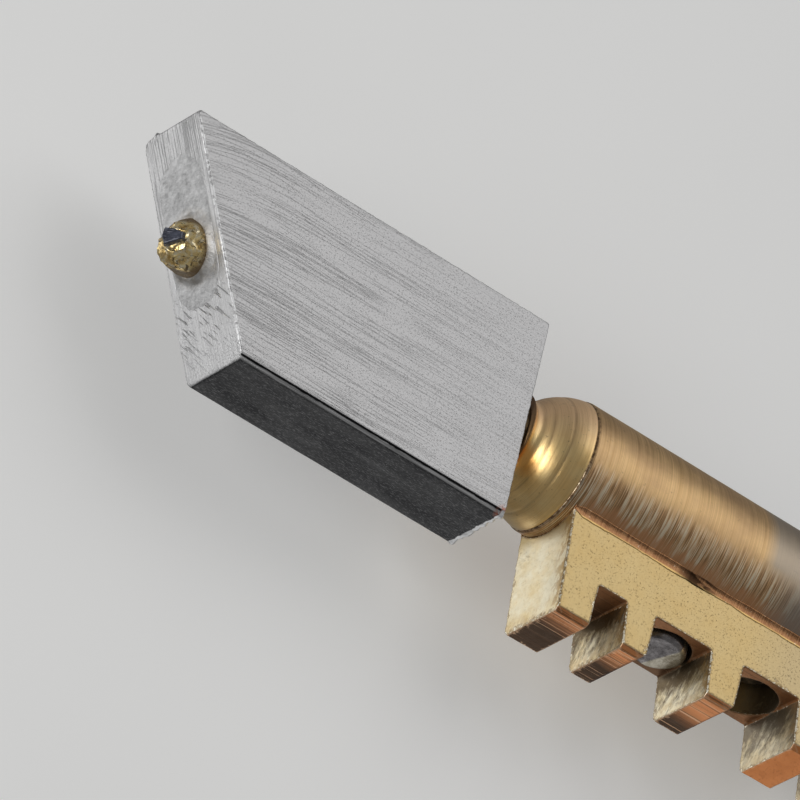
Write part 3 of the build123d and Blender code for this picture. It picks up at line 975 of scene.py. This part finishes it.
def comb_brass():
    """Cast brass: cream painted light on its front face, stained slots with painted shade on their
    ceilings, coppery ends of the teeth, a painted grey reflection to the rear, painted edge highlights
    and shade.
    """
    look = Look("comb_brass", 0.85)
    dark_skin = (0.62, 0.45, 0.20)
    light_skin = (0.78, 0.60, 0.30)
    lit_dark_cream = (0.86, 0.71, 0.42)
    lit_pale_cream = (1.0, 0.93, 0.72)
    shade_brown = (0.50, 0.36, 0.13)
    stain_brown = (0.11, 0.065, 0.025)
    grain_brown = (0.52, 0.33, 0.12)
    grey_reflection = (0.46, 0.43, 0.36)
    pit_brown = (0.26, 0.18, 0.09)
    spot_brown = (0.15, 0.10, 0.06)
    edge_shade_brown = (0.24, 0.15, 0.07)
    edge_highlight_cream = (1.0, 0.95, 0.78)
    ceiling_shade_brown = (0.25, 0.13, 0.06)
    cloud = look.noise(1.6, detail=6, rough=0.65)
    look.base(cloud, 0.3, 0.7, dark_skin, light_skin)
    front = look.facing("X", -0.5, -0.85)
    # painted light: the front faces painted a lighter cream
    lit_cream = look.mix(look.between(cloud, 0.35, 0.6), lit_dark_cream, lit_pale_cream)
    upper = look.along("Y", ROOT_Y - 2.2, ROOT_Y - 0.6)
    shaded = look.between(look.sum("ADD", upper, look.part(0.5, cloud)), 0.5, 1.1)
    lit_cream = look.over(lit_cream, shaded, shade_brown, 0.8)
    look.paint(front, lit_cream, 0.9)
    look.paint(wall_stains(look, front), stain_brown)
    look.paint(front_grains(look, front), grain_brown)
    # painted reflection: the same grey towards the rear of the comb
    rear = look.behind_rim(14.5, 18.0)
    look.paint(rear, grey_reflection, 0.25)
    pits = look.spots(0.12, 0.60, 0.74, rough=0.6)
    look.paint(pits, pit_brown, 0.08)
    look.paint(root_spots(look), spot_brown)
    dots = look.spots(0.2, 0.46, 0.54, detail=2)
    # painted shade along the edges, and painted highlights as bright dots on them
    look.paint(look.edges(0.505, 0.52), edge_shade_brown, 0.6)
    look.paint(look.part(dots, look.edges(0.52, 0.54)), edge_highlight_cream)
    below = look.facing("Y", -0.4, -0.58)
    look.paint(below, tooth_ends(look))
    # painted shade on the slots' ceilings
    ceiling_shade = look.part(below, look.along("Y", COMB_LOW.y + 1.5, COMB_LOW.y + 2.2))
    look.paint(ceiling_shade, ceiling_shade_brown, 0.75)
    roughness = look.between(cloud, 0.3, 0.7, 0.42, 0.52)
    normal = look.bump(look.sum("SUBTRACT", look.part(0.6, cloud), pits), 0.012)
    normal = look.bump(look.noise((3.0, 0.07, 2.0), detail=2), 0.003, normal)
    return look.finish(roughness, normal)


def wall_stains(look, front):
    """Brown stains with slanting streaks on the slots' far walls, darkest towards their tops."""
    inside = look.part(front, look.behind_rim(2, 4))
    patch = look.noise((0.5, 1.2, 0.5), (35, 0, 0), detail=5, rough=0.7)
    higher = look.along("Y", COMB_LOW.y + 0.3, COMB_LOW.y + 3.0)
    level = look.sum("ADD", patch, look.part(0.35, look.sum("SUBTRACT", higher, 0.4)))
    return look.part(look.part(0.88, inside), look.between(level, 0.38, 0.62))


def front_grains(look, front):
    """Brown grains along the near and lower edges of the comb's front face."""
    near = look.along("Z", COMB_HIGH.z - 1.3, COMB_HIGH.z - 0.1)
    lower = look.along("Y", COMB_LOW.y + 1.2, COMB_LOW.y + 0.1, 0.6)
    grain = look.spots((0.4, 0.9, 0.4), 0.46, 0.54, turn=(25, 0, 0), detail=4, rough=0.7)
    return look.part(look.part(0.9, front), look.part(look.sum("MAXIMUM", near, lower), grain))


def root_spots(look):
    """Dark spots on the comb's sides just under the seam."""
    root = look.along("Y", ROOT_Y - 1.3, ROOT_Y - 0.3)
    spots = look.spots(0.35, 0.55, 0.66, detail=4, rough=0.75)
    gate = look.spots(1.5, 0.45, 0.6, detail=1)
    return look.part(0.65, look.part(root, look.part(gate, spots)))


def tooth_ends(look):
    """Coppery near edges and painted shade on the far edges, with bright lines along the comb and
    painted highlights on the edges; plainer to the rear.
    """
    far_shade_brown = (0.085, 0.045, 0.02)
    near_copper = (0.86, 0.36, 0.14)
    dark_line = (0.14, 0.07, 0.035)
    bright_line = (0.90, 0.55, 0.32)
    plain_copper = (0.80, 0.30, 0.09)
    edge_highlight_copper = (1.0, 0.66, 0.40)
    across = look.along("Z", COMB_LOW.z + 0.8, COMB_HIGH.z - 0.4)
    level = look.sum("ADD", across, look.behind_rim(1, 25, 0.9))
    # painted shade: darker towards the far edges
    copper = look.mix(look.between(level, 0.6, 1.08), far_shade_brown, near_copper)
    dark = look.spots((9.0, 2.0, 0.13), 0.56, 0.62, detail=1)
    color = look.over(copper, dark, dark_line, 0.6)
    bright = look.spots((12.0, 2.0, 0.12), 0.68, 0.73, detail=0)
    color = look.over(color, bright, bright_line, 0.85)
    plain = look.behind_rim(17, 19)
    color = look.mix(plain, color, plain_copper)
    # painted highlights on the edges
    return look.mix(look.part(0.7, look.edges(0.515, 0.54)), color, edge_highlight_copper)


def seam_solder():
    """Reddish brown like the barrel's foot, with a thin golden lower edge painted as a highlight,
    painted glints, and one dark gap painted as shade.
    """
    look = Look("seam_solder")
    dark_copper = (0.32, 0.15, 0.07)
    copper = (0.54, 0.29, 0.14)
    edge_highlight_gold = (0.90, 0.62, 0.24)
    seam_glint = (0.95, 0.76, 0.54)
    void_shade_brown = (0.04, 0.02, 0.01)
    tone = look.noise((0.06, 4.0, 4.0), detail=2, rough=0.6)
    look.base(tone, 0.40, 0.60, dark_copper, copper)
    # painted highlight along the lower edge
    gold = look.along("Y", ROOT_Y - 0.46, ROOT_Y - 0.56)
    look.paint(gold, edge_highlight_gold, 0.9)
    # painted glints
    seam_glints = look.spots(0.25, 0.64, 0.72, detail=2)
    look.paint(seam_glints, seam_glint, 0.6)
    # painted shade for a void in the solder
    void_shade = look.part(look.behind_rim(8.4, 9.6), look.behind_rim(12.2, 10.8))
    ragged = look.spots((1.2, 0.3, 0.3), 0.35, 0.5, detail=2)
    look.paint(look.part(ragged, void_shade), void_shade_brown, 0.95)
    normal = look.bump(look.noise(0.2), 0.012)
    return look.finish(look.between(tone, 0.3, 0.7, 0.38, 0.48), normal)


def plain_metal(name, dark, light, roughness):
    """A small turned or filed fitting."""
    look = Look(name)
    tone = look.noise(0.6, detail=4)
    look.base(tone, 0.35, 0.65, dark, light)
    scratch = look.noise((1.2, 0.04, 0.04), (0, 25, 40), detail=2)
    normal = look.bump(scratch, 0.01)
    return look.finish(look.between(scratch, 0.3, 0.7, roughness, roughness + 0.2), normal)


def pin_end():
    """Scratched steel on the stop pin's end, painted as a dark reflection on one facet and painted
    light on the pale other facet, with painted highlights on its edges.
    """
    look = Look("pin_end", 0.9)
    dark_reflection_steel = (0.12, 0.11, 0.11)
    grey_reflection_steel = (0.34, 0.32, 0.32)
    lit_dull_tan = (0.36, 0.32, 0.24)
    lit_pale_tan = (0.62, 0.58, 0.48)
    edge_highlight_white = (0.90, 0.88, 0.86)
    tone = look.noise(0.5, detail=5, rough=0.7)
    dark = look.mix(look.between(tone, 0.35, 0.65), dark_reflection_steel, grey_reflection_steel)
    lit_facet = look.mix(look.between(tone, 0.35, 0.65), lit_dull_tan, lit_pale_tan)
    behind_ridge = look.depth(PIN_RIDGE, Vector((-1, 0, PIN_SKEW)))
    # painted light and reflection: one facet dark, the other pale
    look.base(behind_ridge, -0.05, 0.05, dark, lit_facet)
    # painted highlights on the edges
    look.paint(look.edges(0.52, 0.55), edge_highlight_white, 0.7)
    scratch = look.noise((1.2, 0.05, 0.05), (0, 25, 40), detail=2)
    normal = look.bump(scratch, 0.015)
    return look.finish(look.between(scratch, 0.3, 0.7, 0.25, 0.42), normal)


def rosewood():
    """Dark red hardwood with streaks and pores, under a thin varnish."""
    look = Look("rosewood", 0.0)
    dark_wood = (0.030, 0.010, 0.006)
    red_wood = (0.20, 0.070, 0.030)
    streak_wood = (0.012, 0.005, 0.004)
    pore_wood = (0.008, 0.004, 0.003)
    grain = look.noise((28.0, 1.1, 1.1), detail=5, rough=0.6, bend=0.6)
    fine = look.noise((9.0, 0.16, 0.16))
    look.base(grain, 0.36, 0.6, dark_wood, red_wood)
    streak = look.spots((40.0, 2.6, 2.6), 0.56, 0.66, bend=0.8)
    look.paint(streak, streak_wood, 0.7)
    pores = look.spots((1.6, 0.07, 0.07), 0.62, 0.72, detail=2)
    look.paint(pores, pore_wood, 0.8)
    height = look.sum("SUBTRACT", look.part(0.3, fine), pores)
    normal = look.bump(height, 0.03)
    roughness = look.between(fine, 0.3, 0.7, 0.3, 0.45)
    return look.finish(roughness, normal, Coat_Weight=0.35, Coat_Roughness=0.22)


# ---- stage


def soft_box(name, place, target, size, power):
    """A large square lamp at a place in millimetres, turned to a target."""
    lamp = bpy.data.lights.new(name, "AREA")
    lamp.shape = "SQUARE"
    lamp.size = size * MM
    lamp.energy = power
    holder = bpy.data.objects.new(name, lamp)
    holder.visible_camera = False
    holder.location = Vector(place) * MM
    aim = Vector(target) * MM - holder.location
    holder.rotation_euler = aim.to_track_quat("-Z", "Y").to_euler()
    bpy.context.scene.collection.objects.link(holder)


def floor():
    """A pale sheet under the cutter that its polished sides don't mirror."""
    level = cad_bounds[0][2] / MM
    half = 900
    bm = bmesh.new()
    bmesh.ops.create_grid(bm, x_segments=8, y_segments=8, size=half)
    mesh = mesh_of(bm, "floor")
    mesh.transform(Matrix.Translation((0, 0, level)))
    mesh.transform(Matrix.Scale(MM, 4))
    sheet = bpy.data.objects.new("floor", mesh)
    bpy.context.scene.collection.objects.link(sheet)
    look = Look("floor", 0.0)
    shade = (0.78, 0.78, 0.77)
    light = (0.82, 0.82, 0.81)
    tone = look.mix(look.noise(30.0, detail=2), shade, light)
    glow = {"Emission_Color": tone, "Emission_Strength": 0.28}
    look.color = tone
    sheet.data.materials.append(look.finish(0.9, **glow))
    sheet.visible_glossy = False
    sheet.visible_diffuse = False
    sheet.visible_shadow = False


def light_the_stage():
    """Four soft lamps round the head and neck, and a dim even sky."""
    middle = (RIM_X, 0, AXIS_Z)
    soft_box("sky", (200, 230, 400), middle, 420, 0.64)
    soft_box("front", (-390, -117, 163), middle, 250, 0.82)
    soft_box("below", (270, -330, -430), middle, 400, 0.3)
    soft_box("under", (-330, 130, -400), middle, 420, 0.6)
    sky_color = (0.17, 0.17, 0.172, 1)
    world = bpy.data.worlds.new("studio")
    world.use_nodes = True
    world.node_tree.nodes["Background"].inputs["Color"].default_value = sky_color
    world.node_tree.nodes["Background"].inputs["Strength"].default_value = 1.0
    bpy.context.scene.world = world


def camera():
    """A long lens above and in front of the nose, on the comb's side, rolled to set it on a slant."""
    right = Vector((0.77501, 0.20071, 0.59923))
    up = Vector((-0.4677, 0.81985, 0.33029))
    back = Vector((-0.42499, -0.53624, 0.72926))
    place = Vector((-222.86, -287.66, 391.75)) * MM
    turn = Matrix((right, up, back)).transposed().to_4x4()
    data = bpy.data.cameras.new("camera")
    data.sensor_width = 36
    data.lens = 407.5
    data.clip_start = 0.01
    holder = bpy.data.objects.new("camera", data)
    holder.matrix_world = Matrix.Translation(place) @ turn
    bpy.context.scene.collection.objects.link(holder)
    bpy.context.scene.camera = holder


def dress(piece, material):
    """Gives a piece one material."""
    piece.data.materials.clear()
    piece.data.materials.append(material)


steel = plain_metal("turned_steel", (0.22, 0.22, 0.23), (0.45, 0.45, 0.46), 0.3)
pin_steel = plain_metal("pin_steel", (0.12, 0.11, 0.11), (0.42, 0.40, 0.37), 0.3)
dull_brass = plain_metal("dull_brass", (0.10, 0.07, 0.04), (0.34, 0.25, 0.14), 0.4)
braze = plain_metal("braze", (0.35, 0.15, 0.08), (0.62, 0.33, 0.20), 0.35)
seam_metal = seam_solder()

dress(head(), head_steel())
dress(solder_patch(), solder())
dress(bead(), bead_brass())
dress(stone(), crystal())
dress(comb(), comb_brass())
dress(seam("comb_seam_upper", "seam_fillet_upper", 1), seam_metal)
dress(seam("comb_seam_lower", "seam_fillet_lower", -1), seam_metal)
dress(barrel(), barrel_brass())
dress(bush(), dome_brass())
dress(handle(), rosewood())
dress(stop_pin(), pin_end())
dress(pin("comb_rivet", "comb_rivet_filed"), pin_steel)
dress(pin("handle_pin", "handle_pin_filed"), dull_brass)
dress(frame["nodes"]["setting_stud"], dull_brass)
dress(frame["nodes"]["swivel_stem"], steel)
dress(frame["nodes"]["stem_braze"], braze)
dress(frame["nodes"]["thrust_washer"], dull_brass)

floor()
light_the_stage()
camera()
bpy.context.scene.view_settings.view_transform = "Standard"
